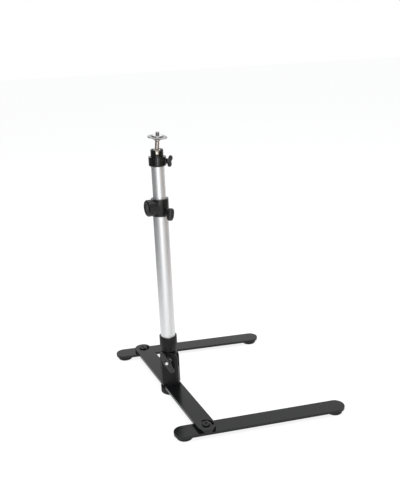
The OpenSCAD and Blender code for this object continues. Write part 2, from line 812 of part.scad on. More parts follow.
module tube_end_cap() {
  color([0.1, 0.1, 0.1]) {
    translate([0, 0, upper_z - cap_flange_t]) cylinder(r = lower_bore - move_gap, h = cap_flange_t);
    translate([0, 0, upper_z]) cylinder(r = upper_r - upper_wall - seat_fit, h = cap_plug);
  }
}

// The head: a collar over the tube's end and a slotted cup that holds the ball.
module head_body() {
  color([0.08, 0.08, 0.09]) difference() {
    union() {
      translate([0, 0, head_z + head_round]) cylinder(d = head_d, h = head_h - head_round);
      translate([0, 0, head_z]) cylinder(d = head_d - 2 * head_round, h = head_h);
      translate([0, 0, head_z + head_round]) rotate_extrude()
        translate([head_d / 2 - head_round, 0]) circle(r = head_round, $fn = 48);
      translate([0, 0, head_top - eps]) cylinder(d = cup_d, h = cup_h + eps);
      outward(head_knob_az, head_screw_z) cylinder(d = head_hub_d, h = head_boss_reach);
    }
    translate([0, 0, head_z - eps]) cylinder(r = upper_r + seat_fit, h = head_seat + eps);
    translate([0, 0, head_z]) cylinder(r = chamber_bore, h = ball_z - head_z);
    translate([0, 0, ball_z]) sphere(r = chamber_r);
    translate([0, 0, ball_z + flare_rise])
      cylinder(r1 = sqrt(chamber_r * chamber_r - flare_rise * flare_rise), r2 = cup_d / 2 - cup_lip,
        h = cup_top - ball_z - flare_rise + 0.01);
    outward(slot_az, ball_z) {
      cylinder(d = slot_w, h = cup_d);
      translate([-2 * cup_h, -slot_w / 2, 0]) cube([2 * cup_h, slot_w, cup_d]);
    }
    outward(head_knob_az, head_screw_z) cylinder(d = head_screw_d + 2 * run_fit, h = head_d);
  }
}

module head_spigot() {
  color("silver") {
    translate([0, 0, upper_top - spigot_len]) cylinder(r = upper_r - upper_wall - seat_fit, h = spigot_len);
    translate([0, 0, upper_top - eps]) cylinder(r = chamber_bore - seat_fit, h = 3 + eps);
  }
}

module ball_brake_shoe() {
  color("ivory") difference() {
    translate([0, 0, head_screw_z + head_screw_d / 2 + move_gap])
      cylinder(r = chamber_bore - run_fit, h = 4.4);
    translate([0, 0, ball_z]) sphere(r = ball_r + move_gap);
  }
}

module head_knob_screw() {
  color("silver") outward(head_knob_az, head_screw_z)
    turned([[0, 2], [0.8, 2], [head_screw_d / 2, 4.4],
      [head_screw_d / 2, head_boss_reach + head_screw_out], [0, head_boss_reach + head_screw_out]]);
}

module head_knob() {
  color([0.1, 0.1, 0.11]) outward(head_knob_az, head_screw_z)
    thumb_knob(head_boss_reach + move_gap, head_hub_d, head_neck, head_knob_span, head_knob_len,
      head_knob_t, head_screw_d + 2 * seat_fit, head_knob_turn);
}

module ball() {
  color([0.75, 0.75, 0.77]) on_ball() difference() {
    sphere(r = ball_r);
    translate([0, 0, ball_flat]) cylinder(r = ball_r, h = ball_r);
    translate([0, 0, 1]) cylinder(r = stem_r - 0.8 + run_fit, h = ball_r);
  }
}

module ball_stem() {
  color([0.75, 0.75, 0.77]) on_ball() difference() {
    union() {
      translate([0, 0, 1.3]) cylinder(r = stem_r - 0.8, h = ball_flat);
      translate([0, 0, ball_flat + face_gap])
        cylinder(r = stem_r, h = stem_len - ball_flat - face_gap - 1);
      translate([0, 0, stem_len - flange_h - 1.6])
        cylinder(d1 = stem_d, d2 = flange_d, h = 1.6);
      translate([0, 0, stem_len - flange_h]) cylinder(d = flange_d, h = flange_h);
    }
    translate([0, 0, stem_len - 5]) cylinder(d = stud_neck + 2 * seat_fit, h = 6);
  }
}

module camera_stud() {
  color([0.6, 0.6, 0.62]) on_ball()
    turned([[0, stem_len - 4.8], [stud_neck / 2, stem_len - 4.8], [stud_neck / 2, stud_z],
      [stud_d / 2, stud_z], [stud_d / 2, stud_top - 0.7], [stud_d / 2 - 0.7, stud_top], [0, stud_top]]);
}

module platform_disc() {
  color([0.85, 0.85, 0.86]) on_ball() translate([0, 0, disc_z]) difference() {
    turned([[0, 0], [disc_d / 2 - 4, 0], [disc_d / 2, ring_t - disc_rim], [disc_d / 2, ring_t - 0.5],
      [disc_d / 2 - disc_bevel, ring_t], [face_d / 2, ring_t], [face_d / 2, disc_t - face_edge],
      [face_d / 2 - face_edge, disc_t], [0, disc_t]]);
    translate([0, 0, -eps]) cylinder(d = stud_neck + 2 * run_fit, h = disc_t + 2 * eps);
    translate([0, 0, disc_t - stud_seat]) cylinder(d = stud_d + 2 * move_gap, h = disc_t);
  }
}

crossbar();
centre_foot();
centre_foot_screws();
near_leg();
near_leg_front_foot();
near_leg_back_foot();
near_leg_foot_screws();
near_pivot_screw();
near_pivot_washer();
near_pivot_nut();
near_stop_pin();
far_leg();
far_leg_front_foot();
far_leg_back_foot();
far_leg_foot_screws();
far_pivot_screw();
far_pivot_washer();
far_pivot_nut();
far_stop_pin();
swivel_washer();
tilt_bracket();
swivel_bolt();
tilt_bolt();
tilt_friction_discs();
tilt_knob_washer();
tilt_knob();
post_socket();
socket_grub_screw();
lower_tube();
lock_collar();
collar_boss_cap();
collar_fixing_screw();
lock_pad();
collar_knob_screw();
collar_knob();
tube_guide_bush();
upper_tube();
tube_end_cap();
head_body();
head_spigot();
ball_brake_shoe();
head_knob_screw();
head_knob();
ball();
ball_stem();
camera_stud();
platform_disc();
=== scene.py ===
# %% [markdown]
# A tabletop shooting stand: a flat crossbar on two swinging legs carries a tilting,
# sliding tube post with a small ball head on top. The solids come from a packed
# model that is already at real size, so this lesson is about what turns plain solids
# into a believable product: softened edges, cut threads, knurling, moulded knobs and
# finishes that react to light the way paint, nylon, rubber and metal do.

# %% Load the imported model
import json
import math

import bpy
from mathutils import Matrix, Vector


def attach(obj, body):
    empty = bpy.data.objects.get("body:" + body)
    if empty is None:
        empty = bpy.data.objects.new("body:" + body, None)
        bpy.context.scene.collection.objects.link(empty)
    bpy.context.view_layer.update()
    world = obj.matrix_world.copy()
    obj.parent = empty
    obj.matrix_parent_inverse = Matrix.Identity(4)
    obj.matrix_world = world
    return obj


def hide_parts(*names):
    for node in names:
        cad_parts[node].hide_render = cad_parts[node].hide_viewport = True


MM_PER_M = 1000

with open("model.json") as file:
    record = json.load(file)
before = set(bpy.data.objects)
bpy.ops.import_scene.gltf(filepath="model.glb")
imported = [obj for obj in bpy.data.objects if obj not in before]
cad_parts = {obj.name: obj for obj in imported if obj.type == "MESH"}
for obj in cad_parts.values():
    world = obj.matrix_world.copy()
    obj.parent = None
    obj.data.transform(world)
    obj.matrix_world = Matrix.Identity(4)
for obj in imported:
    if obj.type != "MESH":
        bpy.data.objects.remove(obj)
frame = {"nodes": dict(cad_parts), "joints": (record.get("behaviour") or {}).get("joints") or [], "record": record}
nodes = frame["nodes"]
joints = {joint["name"]: joint for joint in frame["joints"]}
scene = bpy.context.scene
scene.view_settings.view_transform = "Standard"
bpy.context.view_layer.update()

# %% [markdown]
# The camera stands about a metre away, in front of the near leg and above it, and is
# rolled by about two degrees, as a hand-held camera is. Its place is written as a
# point and three angles, and its lens as the number of picture heights to the image
# plane, so that nothing depends on the render size at hand.

# %% Camera
PLACE = Vector((-0.3402, -0.8883, 0.5934))
TURN, PITCH, ROLL = (math.radians(a) for a in (-24.68, -19.09, 2.28))
FOCAL = 603.4 / 500
SENSOR = 36
POST_MIDDLE = Vector((0, 0, 0.23))

ahead = Vector((-math.sin(TURN) * math.cos(PITCH), math.cos(TURN) * math.cos(PITCH), math.sin(PITCH)))
level = Vector((math.cos(TURN), math.sin(TURN), 0))
above = level.cross(ahead)
right = level * math.cos(ROLL) - above * math.sin(ROLL)
up = level * math.sin(ROLL) + above * math.cos(ROLL)

lens = bpy.data.cameras.new("camera")
lens.sensor_fit = "VERTICAL"
lens.sensor_width = lens.sensor_height = SENSOR
lens.lens = FOCAL * SENSOR
camera = bpy.data.objects.new("camera", lens)
camera.matrix_world = Matrix((right, up, -ahead)).transposed().to_4x4()
camera.location = PLACE
scene.collection.objects.link(camera)
scene.camera = camera
print("camera is", round((PLACE - POST_MIDDLE).length, 3), "m from the post")

# %% [markdown]
# Every finish below is a small sum of masks and noises, and sums read best as sums.
# This class wraps a socket, so that `1 - mask * 0.4` adds the Math nodes by itself.

# %% Shader arithmetic
class Value:
    """A socket that adds to and multiplies with other sockets and plain numbers."""

    def __init__(self, graph, socket):
        self.graph, self.socket = graph, socket

    def _math(self, operation, *values):
        return self.graph.node("ShaderNodeMath", {"operation": operation}, *values)["Value"]

    def __add__(self, other):
        return self._math("ADD", self, other)

    def __radd__(self, other):
        return self._math("ADD", other, self)

    def __sub__(self, other):
        return self._math("SUBTRACT", self, other)

    def __rsub__(self, other):
        return self._math("SUBTRACT", other, self)

    def __mul__(self, other):
        return self._math("MULTIPLY", self, other)

    def __rmul__(self, other):
        return self._math("MULTIPLY", other, self)

    def wave(self):
        return self._math("SINE", self)

    def limited(self):
        return self.graph.node("ShaderNodeClamp", {}, self)["Result"]

    def above(self, edge, width):
        """0 up to `edge`, 1 from `edge` + `width` on, and a straight ramp between."""
        return ((self - edge) * (1 / width)).limited()


# %% [markdown]
# Materials and the world are both graphs of nodes, so one class knows how to add to
# either. Its `node` makes any kind of node: the settings first, because they decide
# which sockets the node has, and then the sockets, in order or by name.

# %% Graphs of nodes
class Graph:
    """The nodes of a material or of the world, around the shader they came with."""

    def __init__(self, owner, shader, output):
        owner.use_nodes = True
        self.tree = owner.node_tree
        self.shader = self.tree.nodes[shader]
        self.output = self.tree.nodes[output]

    def _plug(self, socket, value):
        if isinstance(value, Value):
            self.tree.links.new(value.socket, socket)
        else:
            socket.default_value = value

    def node(self, kind, settings, *values, **named):
        made = self.tree.nodes.new(kind)
        for key, setting in settings.items():
            setattr(made, key, setting)
        in_use = [socket for socket in made.inputs if socket.enabled]
        for socket, value in zip(in_use, values):
            self._plug(socket, value)
        for name, value in named.items():
            self._plug(made.inputs[name.replace("_", " ")], value)
        return {out.name: Value(self, out) for out in made.outputs if out.enabled}

    def set(self, **settings):
        for name, value in settings.items():
            self._plug(self.shader.inputs[name.replace("_", " ")], value)
        return self

    def own(self):
        return Value(self, self.shader.outputs[0])

    def show(self, shown, lit, share=1.0):
        """Give rays that look `shown`, mixed in by `share`, and give all other rays `lit`."""
        rays = self.node("ShaderNodeLightPath", {})
        looks = rays["Is Camera Ray"] + rays["Is Glossy Ray"] + rays["Is Transmission Ray"]
        mixed = self.node("ShaderNodeMixShader", {}, looks.limited() * share, lit, shown)
        self._plug(self.output.inputs["Surface"], mixed["Shader"])


# %% [markdown]
# A finish is one material, and a graph that knows a few tricks of the trade: noise
# that can be stretched into lines, the distance from an axis for turned parts, a blend
# of two colours, and a bump for grain that is too fine to model.

# %% Finishes
class Finish(Graph):
    """One material, named after its slot or after what it covers."""

    def __init__(self, name, **settings):
        self.slot = name
        self.material = bpy.data.materials.new("finish_" + name)
        super().__init__(self.material, "Principled BSDF", "Material Output")
        self.set(**settings)

    def place(self):
        return self.node("ShaderNodeTexCoord", {})["Object"]

    def noise(self, scale, detail=2.0, roughness=0.5, stretch=(1, 1, 1)):
        at = self.node("ShaderNodeMapping", {}, self.place(), Scale=stretch)["Vector"]
        made = self.node("ShaderNodeTexNoise", {}, Vector=at, Scale=scale,
                         Detail=detail, Roughness=roughness)
        return made["Fac"]

    def from_axis(self, point, axis):
        kind = "ShaderNodeVectorMath"
        offset = self.node(kind, {"operation": "SUBTRACT"}, self.place(), tuple(point))["Vector"]
        across = self.node(kind, {"operation": "CROSS_PRODUCT"}, offset, tuple(axis))["Vector"]
        return self.node(kind, {"operation": "LENGTH"}, across)["Value"]

    def blend(self, amount, first, second):
        return self.node("ShaderNodeMix", {"data_type": "RGBA"}, amount, first, second)["Result"]

    def bump(self, height, depth, strength=1.0):
        made = self.node("ShaderNodeBump", {}, Strength=strength, Distance=depth, Height=height)
        return self.set(Normal=made["Normal"])


def grey(level, warm=0.0):
    return (level * (1 + warm), level, level * (1 - warm), 1)


# %% [markdown]
# The crossbar and legs are steel bars with black powder coat. The powder melts into a
# fine orange peel, glossy between the dimples, which is why the flat tops go grey
# where they mirror a bright room and black where they mirror the bracket. Two noises,
# a fine one for the peel and a broad one for handling marks in the gloss, make that
# from one base colour, and a third picks out the few specks of dust that paint shows.

# %% Powder coat
powder_coat = Finish("bar_paint", Specular_IOR_Level=0.33)
peel = powder_coat.noise(900, 2)
smears = powder_coat.noise(14, 3)
specks = powder_coat.noise(700, 1).above(0.76, 0.02)
powder_coat.set(Base_Color=powder_coat.blend(specks * 0.5, grey(0.007, -0.06), grey(0.22)),
                Roughness=0.13 + smears * 0.12 + specks * 0.2)
powder_coat.bump(peel, 0.0002, 0.22)
print("finish:", powder_coat.slot)

# %% [markdown]
# The bracket, socket, collar and knobs are black nylon filled with glass fibre. The
# mould leaves a fine matt grain on them, and handling polishes their skin in patches.
# They differ in shade, in how deep the grain is and in how shiny the skin has become,
# and the small nylon washers and the head's plastic are made in the same way.

# %% Moulded nylon
def moulded(name, colour, gloss, grain_depth, shine=0.3, grain_scale=1400):
    made = Finish(name, Specular_IOR_Level=shine)
    grain = made.noise(grain_scale, 3, 0.6)
    cloud = made.noise(45, 2)
    made.set(Base_Color=made.blend(cloud, grey(colour * 0.8), grey(colour * 1.2)),
             Roughness=gloss + cloud * 0.1 + grain * 0.06)
    made.bump(grain, grain_depth, 0.5)
    return made


bracket_nylon = moulded("bracket_plastic", colour=0.008, gloss=0.4, grain_depth=0.00025, shine=0.22)
collar_nylon = moulded("collar_plastic", colour=0.004, gloss=0.19, grain_depth=0.00012, shine=0.4)
knob_nylon = moulded("knob_plastic", colour=0.013, gloss=0.27, grain_depth=0.00015, shine=0.55)
cap_nylon = moulded("cap_plastic", colour=0.06, gloss=0.5, grain_depth=0.0002)
washer_nylon = moulded("black_washer", colour=0.012, gloss=0.45, grain_depth=0.0001)
natural_nylon = moulded("nylon", colour=0.72, gloss=0.45, grain_depth=0.0001)
head_plastic = moulded("head_plastic", colour=0.003, gloss=0.14, grain_depth=0.00002, shine=0.5,
                       grain_scale=500)
print("nylons:", [f.slot for f in (bracket_nylon, collar_nylon, knob_nylon, head_plastic)])

# %% [markdown]
# The tubes are drawn aluminium, etched and clear anodised. Etching turns the mirror
# into a satin that spreads each light into a broad band, and the drawing leaves
# faint lines along the tube. The noise is stretched a hundredfold along Z for those.

# %% Satin tube
satin_tube = Finish("tube_aluminium", Metallic=1.0)
drawn = satin_tube.noise(1500, 3, 0.6, (1, 1, 0.01))
etched = satin_tube.noise(3000, 2)
satin_tube.set(Base_Color=satin_tube.blend(drawn, (0.76, 0.765, 0.775, 1), (0.84, 0.845, 0.85, 1)),
               Roughness=0.42 + drawn * 0.1)
satin_tube.bump(drawn * 0.6 + etched * 0.4, 0.00008, 0.35)
print("finish:", satin_tube.slot)

# %% [markdown]
# The small metal parts are plated or turned. Chrome is a soft grey mirror, and its warm
# cast is a painted reflection of a warm room. Zinc-plated screws are paler and a little
# cloudy, the stud is worn plain steel, the spigot is turned aluminium, and the black parts
# are steel with a film of oil.

# %% Small metal parts
chrome = Finish("ball_chrome", Metallic=1.0)
# painted reflection: the warm cast of this colour stands for a warm room mirrored in the chrome, over its own grey
chrome.set(Base_Color=(0.52, 0.48, 0.44, 1), Roughness=0.22 + chrome.noise(120, 2) * 0.06)

zinc = Finish("screw_steel", Metallic=1.0)
cloudy = zinc.noise(300, 3)
zinc.set(Base_Color=zinc.blend(cloudy, grey(0.62), (0.84, 0.84, 0.82, 1)),
         Roughness=0.22 + cloudy * 0.15)

stud_steel = Finish("stud_steel", Metallic=1.0)
worn = stud_steel.noise(500, 3)
stud_steel.set(Base_Color=stud_steel.blend(worn, grey(0.2), grey(0.38)), Roughness=0.25 + worn * 0.2)

spigot_metal = Finish("spigot_aluminium", Metallic=1.0)
spigot_metal.set(Base_Color=grey(0.7), Roughness=0.35 + spigot_metal.noise(200, 2) * 0.1)

black_steel = Finish("black_steel", Metallic=0.6)
oiled = black_steel.noise(400, 3)
black_steel.set(Base_Color=black_steel.blend(oiled, grey(0.012), grey(0.03)),
                Roughness=0.28 + oiled * 0.15)
print("metals:", [f.slot for f in (chrome, zinc, stud_steel, spigot_metal, black_steel)])

# %% [markdown]
# The platform is turned aluminium. Its raised face keeps the tool's rings, which are a
# sine of the distance from its axis. The edge of the face, the ring around it and the
# knurled rim are painted grey as shade, and they are rougher too. One distance gives
# the rings and the painted shade, so the finish follows the disc as it leans.

# %% Turned disc
SHADE_BAND_STARTS, SHADE_BAND_FADE = 0.0074, 0.0006
RING_SPACING = 0.0004
spin = joints["ball_spin"]
disc_metal = Finish("disc_aluminium", Metallic=1.0)
reach_out = disc_metal.from_axis(spin["pos_m"], spin["axis"])
# painted shade: the band from the face's edge out over the ring and the knurled rim is greyed in the base colour
# below
painted_shade_band = reach_out.above(SHADE_BAND_STARTS, SHADE_BAND_FADE)
rings = (reach_out * (2 * math.pi / RING_SPACING)).wave()
disc_metal.set(Base_Color=disc_metal.blend(painted_shade_band, (0.97, 0.97, 0.97, 1), grey(0.4)),
               Roughness=0.2 + painted_shade_band * 0.12 + disc_metal.noise(400, 2) * 0.06)
disc_metal.bump(rings * (1 - painted_shade_band), 0.00001, 0.3)
print("finish:", disc_metal.slot, "rings every", RING_SPACING * MM_PER_M, "mm")

# %% [markdown]
# The feet are soft black rubber, dull because the surface is finely pitted, and the
# friction discs are brown pressed fibre, which hardly shows at all.

# %% Rubber and fibre
rubber = Finish("foot_rubber", Specular_IOR_Level=0.3)
pits = rubber.noise(1800, 3)
dust = rubber.noise(60, 3)
rubber.set(Base_Color=rubber.blend(dust, grey(0.006), grey(0.02)), Roughness=0.6 + pits * 0.2)
rubber.bump(pits, 0.0003, 0.5)

fibre = Finish("fibre")
strands = fibre.noise(900, 4, 0.7, (1, 1, 0.2))
fibre.set(Base_Color=fibre.blend(strands, (0.1, 0.05, 0.025, 1), (0.28, 0.16, 0.09, 1)), Roughness=0.8)
fibre.bump(strands, 0.0002, 0.6)
print("finishes:", rubber.slot, "and", fibre.slot)

# %% [markdown]
# Each solid already knows its material slot, so a table from slot to finish dresses
# them all. No real edge is knife-sharp, and the thin bright line along a bar or a
# moulding is the light caught by that small round. A Bevel modifier adds it without
# touching the solid: Weld first closes the mesh, and a planar Decimate clears the
# triangles that flat faces arrive with.

# %% Dress the solids
finishes = {f.slot: f for f in (
    powder_coat, bracket_nylon, collar_nylon, knob_nylon, cap_nylon, washer_nylon, natural_nylon,
    head_plastic, satin_tube, chrome, zinc, stud_steel, spigot_metal, black_steel, disc_metal,
    rubber, fibre)}
slot_of = {part["node"]: part["material_slot"] for part in frame["record"]["subparts"]}
for name, solid in nodes.items():
    solid.data.materials.clear()
    solid.data.materials.append(finishes[slot_of[name]].material)


SAME_POINT_M, SAME_PLANE_DEG, SHARP_DEG, ROUND_STEPS = 0.000002, 0.4, 30, 3
ROUND_MM = {
    "crossbar": 0.6, "near_leg": 0.6, "far_leg": 0.6, "tilt_bracket": 0.7, "post_socket": 0.6,
    "lock_collar": 0.8, "head_body": 0.4, "centre_foot": 0.8, "near_leg_front_foot": 0.8,
    "near_leg_back_foot": 0.8, "far_leg_front_foot": 0.8, "far_leg_back_foot": 0.8,
    "near_pivot_screw": 0.25, "far_pivot_screw": 0.25, "collar_boss_cap": 0.3, "tilt_bolt": 0.2}


def soften(solid, width):
    """Round a solid's edges by `width` millimetres."""
    weld = solid.modifiers.new("weld", "WELD")
    weld.merge_threshold = SAME_POINT_M
    flat = solid.modifiers.new("flat", "DECIMATE")
    flat.decimate_type = "DISSOLVE"
    flat.angle_limit = math.radians(SAME_PLANE_DEG)
    edge = solid.modifiers.new("edge", "BEVEL")
    edge.width = width / MM_PER_M
    edge.segments = ROUND_STEPS
    edge.limit_method = "ANGLE"
    edge.angle_limit = math.radians(SHARP_DEG)
    edge.harden_normals = True


for name, width in ROUND_MM.items():
    soften(nodes[name], width)
print("softened edges on", sum("edge" in s.modifiers for s in nodes.values()), "solids")

# %% [markdown]
# The pieces that follow replace plain solids with finer ones. Each is drawn in a small
# frame, in millimetres, whose Z runs along the axis that it turns on, because a knob
# or a thread is easy to draw round an axis and hard to draw in the room. The axis
# comes from the joint, and the reach from the solid that the piece stands for.

# %% Local frames
def frame_on(joint, turn=0.0, flipped=False):
    """A frame on a joint: Z along its axis, and X as low as it can point, turned about Z."""
    z = Vector(joints[joint]["axis"]).normalized() * (-1 if flipped else 1)
    x = Vector((0, 0, -1))
    x = (x - z * x.dot(z)).normalized()
    spun = Matrix.Rotation(math.radians(turn), 4, "Z")
    made = Matrix((x, z.cross(x), z)).transposed().to_4x4() @ spun
    made.translation = joints[joint]["pos_m"]
    return made


def extent(node, place):
    """The lowest and highest corner of a solid in a local frame, in millimetres."""
    back = place.inverted()
    seen = [back @ corner.co * MM_PER_M for corner in nodes[node].data.vertices]
    low = Vector(min(p[i] for p in seen) for i in range(3))
    high = Vector(max(p[i] for p in seen) for i in range(3))
    return low, high


def piece(name, shells, place, node, body, crease=35):
    """One object from shells of points and faces, standing for a solid and riding on its body."""
    points, faces = [], []
    for shell_points, shell_faces in shells:
        start = len(points)
        points += [place @ (Vector(p) / MM_PER_M) for p in shell_points]
        faces += [[start + i for i in face] for face in shell_faces]
    mesh = bpy.data.meshes.new(name)
    mesh.from_pydata(points, [], faces)
    mesh.validate()
    mesh.shade_smooth()
    mesh.set_sharp_from_angle(angle=math.radians(crease))
    mesh.materials.append(finishes[slot_of[node]].material)
    made = bpy.data.objects.new(name, mesh)
    scene.collection.objects.link(made)
    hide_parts(node)
    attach(made, body)
    print(name, "has", len(mesh.polygons), "faces and stands for", node)
    return made


# %% [markdown]
# All of these pieces are turned, moulded or both. A turned piece is a profile of
# radii and heights carried round the axis, and a function may change the radius as it
# goes, which is all that a thread or a knurl is. A moulded piece is an outline lifted
# through a few heights and drawn in a little at each end, so its edges come out round.

# %% Turned and moulded shells
def turned(profile, steps=96, shape=None):
    """A shell from (radius, height) pairs, whose last two faces are its flat ends.

    `shape` may change a radius by its height and angle.
    """
    points, faces = [], []
    for radius, height in profile:
        for step in range(steps):
            angle = 2 * math.pi * step / steps
            r = shape(radius, height, angle) if shape else radius
            points.append((r * math.cos(angle), r * math.sin(angle), height))
    for ring in range(len(profile) - 1):
        for step in range(steps):
            a, b = ring * steps + step, ring * steps + (step + 1) % steps
            faces.append((a, b, b + steps, a + steps))
    last = (len(profile) - 1) * steps
    faces.append(tuple(reversed(range(steps))))
    faces.append(tuple(range(last, last + steps)))
    return points, faces


def rounded(low, high, radius, steps=5):
    """Levels of (height, inset) from one flat face to the other, with round edges."""
    quarter = [math.radians(90) * k / steps for k in range(steps + 1)]
    below = [(low + radius * (1 - math.sin(a)), radius * (1 - math.cos(a))) for a in reversed(quarter)]
    over = [(high - radius * (1 - math.sin(a)), radius * (1 - math.cos(a))) for a in quarter]
    return below + over


def moulding(outline, levels):
    """A shell from an outline, drawn in by `inset` at each (height, inset) level."""
    count = len(outline)
    inward = []
    for i in range(count):
        along = Vector(outline[(i + 1) % count]) - Vector(outline[i - 1])
        inward.append(Vector((-along.y, along.x)).normalized())
    points = [(*(Vector(p) + n * inset), height)
              for height, inset in levels for p, n in zip(outline, inward)]
    faces = [(ring * count + i, ring * count + (i + 1) % count,
              (ring + 1) * count + (i + 1) % count, (ring + 1) * count + i)
             for ring in range(len(levels) - 1) for i in range(count)]
    faces.append(tuple(reversed(range(count))))
    faces.append(tuple(range((len(levels) - 1) * count, len(levels) * count)))
    return points, faces


def squarish(half_length, half_width, fullness=3.2, count=96):
    """An outline between an ellipse and a rectangle; `half_width` may be a function of x."""
    outline = []
    for i in range(count):
        angle = 2 * math.pi * (i + 0.5) / count
        c, s = math.cos(angle), math.sin(angle)
        x = half_length * math.copysign(abs(c) ** (2 / fullness), c)
        width = half_width(x) if callable(half_width) else half_width
        outline.append((x, width * math.copysign(abs(s) ** (2 / fullness), s)))
    return outline


# %% [markdown]
# The platform disc is turned, and its rim is knurled with straight teeth so that
# fingers can hold it. A boolean per tooth would be slow and fragile. Carrying the
# profile round in fine steps and pulling the rim's radius in and out gives the same
# teeth, and they get shallower towards both edges of the rim. The face that a camera
# rests on stands a little above the ring around it.

# %% Platform disc
TEETH, POINTS_PER_TOOTH = 72, 6
TOOTH_DEPTH, RIM_STEPS = 0.55, 8
FADE_REACH, FADE_POWER = 1.5, 4

on_stem = frame_on("ball_spin")
disc_low, disc_high = extent("platform_disc", on_stem)
stud_low, stud_high = extent("camera_stud", on_stem)
disc_r = disc_high.x
disc_bottom, disc_top = disc_low.z, disc_high.z
under_r, ring_r, face_r, neck_r = disc_r - 4, disc_r - 2.4, 9.5, 2.775
rim_low, rim_high, ring_top = disc_bottom + 1.4, disc_bottom + 2.7, disc_bottom + 3.2
well_r, well_depth, well_edge, face_edge = 3.475, 0.5, 0.25, 0.5


def knurl(radius, height, angle):
    middle = (rim_low + rim_high) / 2
    off_middle = abs(height - middle) / (rim_high - rim_low) * FADE_REACH
    fade = max(0.0, 1 - off_middle ** FADE_POWER)
    on_rim = 1 if radius > ring_r else 0
    return radius - on_rim * fade * TOOTH_DEPTH * (0.5 - 0.5 * math.cos(TEETH * angle))


rim_rings = [(disc_r, rim_low + (rim_high - rim_low) * k / RIM_STEPS) for k in range(RIM_STEPS + 1)]
disc_profile = [
    (neck_r, disc_bottom), (under_r, disc_bottom), *rim_rings, (ring_r, ring_top),
    (face_r, ring_top), (face_r, disc_top - face_edge), (face_r - face_edge, disc_top),
    (well_r + well_edge, disc_top), (well_r, disc_top - well_edge),
    (well_r, disc_top - well_depth), (neck_r, disc_top - well_depth), (neck_r, disc_bottom)]
disc_points, disc_faces = turned(disc_profile, TEETH * POINTS_PER_TOOTH, knurl)
without_ends = disc_points, disc_faces[:-2]
piece("knurled_platform", [without_ends], on_stem, "platform_disc", "disc_body", crease=28)

# %% [markdown]
# The camera stud is a quarter-inch thread, twenty turns to the inch, with flat crests
# and a slot across its end for fitting it. The thread is a radius that depends on how
# far the height has run ahead of the angle, so the teeth climb as they go round. The
# slot is then cut with a Boolean, whose result is kept as a plain mesh.

# %% Camera stud
PITCH_MM = 25.4 / 20
THREAD_DEPTH = 0.54 * PITCH_MM
ROOT_SHARE, FLANK_SHARE, RINGS_PER_TURN = 0.12, 0.72, 14
SLOT_WIDTH, SLOT_DEPTH, SLOT_TOWARD = 1.1, 1.3, 62
SLOT_HALF_LONG, SLOT_ABOVE = 6, 2
STUD_CREASE = 40

stud_r = stud_high.x
stud_top = stud_high.z
shoulder, shank_r, stud_chamfer = disc_top + 0.1, 2.725, 0.7


def thread(radius, height, angle):
    if radius < stud_r:
        return radius
    ahead_by = (height / PITCH_MM - angle / (2 * math.pi)) % 1
    crest = min(1.0, max(0.0, (abs(2 * ahead_by - 1) - ROOT_SHARE) / FLANK_SHARE))
    tip = stud_r - max(0.0, height - (stud_top - stud_chamfer))
    return min(stud_r - THREAD_DEPTH * (1 - crest), tip)


thread_long = stud_top - shoulder
thread_rings = int(thread_long / PITCH_MM * RINGS_PER_TURN)
stud_profile = [(shank_r, stud_low.z), (shank_r, shoulder)]
stud_profile += [(stud_r, shoulder + thread_long * k / thread_rings) for k in range(thread_rings + 1)]
stud = piece("threaded_stud", [turned(stud_profile, steps=60, shape=thread)], on_stem,
             "camera_stud", "stem_body", crease=STUD_CREASE)


def carve(solid, corners):
    """Cut a box, given by its eight corners in metres, out of a piece."""
    sides = [(0, 1, 3, 2), (4, 6, 7, 5), (0, 4, 5, 1), (2, 3, 7, 6), (0, 2, 6, 4), (1, 5, 7, 3)]
    mesh = bpy.data.meshes.new("cutter")
    mesh.from_pydata(corners, [], sides)
    cutter = bpy.data.objects.new("cutter", mesh)
    scene.collection.objects.link(cutter)
    cut = solid.modifiers.new("cut", "BOOLEAN")
    cut.object = cutter
    cut.solver = "EXACT"
    view = bpy.context.evaluated_depsgraph_get()
    solid.data = bpy.data.meshes.new_from_object(solid.evaluated_get(view))
    solid.modifiers.clear()
    bpy.data.objects.remove(cutter)
    solid.data.set_sharp_from_angle(angle=math.radians(STUD_CREASE))


slot_way = on_stem.to_3x3().inverted() @ Vector(
    (math.cos(math.radians(SLOT_TOWARD)), math.sin(math.radians(SLOT_TOWARD)), 0))
slot_turn = Matrix.Rotation(math.atan2(slot_way.y, slot_way.x), 4, "Z")
carve(stud, [on_stem @ slot_turn @ (Vector((x, y, z)) / MM_PER_M)
             for x in (-SLOT_HALF_LONG, SLOT_HALF_LONG)
             for y in (-SLOT_WIDTH / 2, SLOT_WIDTH / 2)
             for z in (stud_top - SLOT_DEPTH, stud_top + SLOT_ABOVE)])

# %% [markdown]
# The tilt knob is a moulded wing: a round hub with two paddles, full at the middle and
# soft at every edge, so that it doesn't cut the fingers. Its outline is a squarish
# oval whose width narrows from the hub and swells again towards the tips. A raised
# ring round the bolt shows where the metal insert was moulded in.

# %% Tilt knob
TILT_TURN = 26
PADDLE_HALF, HUB_SWELL, TIP_SWELL = 4.2, 2.3, 0.8
HUB_REACH, TIP_REACH = 7.5, 18

on_tilt = frame_on("tilt_knob_turn", TILT_TURN, flipped=True)
wing_low, wing_high = extent("tilt_knob", on_tilt)
wing_end = wing_high.z
wing_back, wing_front, wing_round = wing_end - 5.7, wing_end - 0.7, 1.7
hub_r, hub_edge, hub_sunk = 6.3, 0.8, 0.6
bolt_hole_r = 3.05
# Radius of the insert's ring, and how far that point lies below the knob's end
ring_rows = (bolt_hole_r, 1.2), (bolt_hole_r, 0.3), (3.4, 0), (4.4, 0), (5.0, 0.4), (5.1, 1.2)


def paddle(x):
    at_hub = math.exp(-(x / HUB_REACH) ** 2)
    at_tip = min(1, abs(x) / TIP_REACH) ** 2
    return PADDLE_HALF + HUB_SWELL * at_hub + TIP_SWELL * at_tip


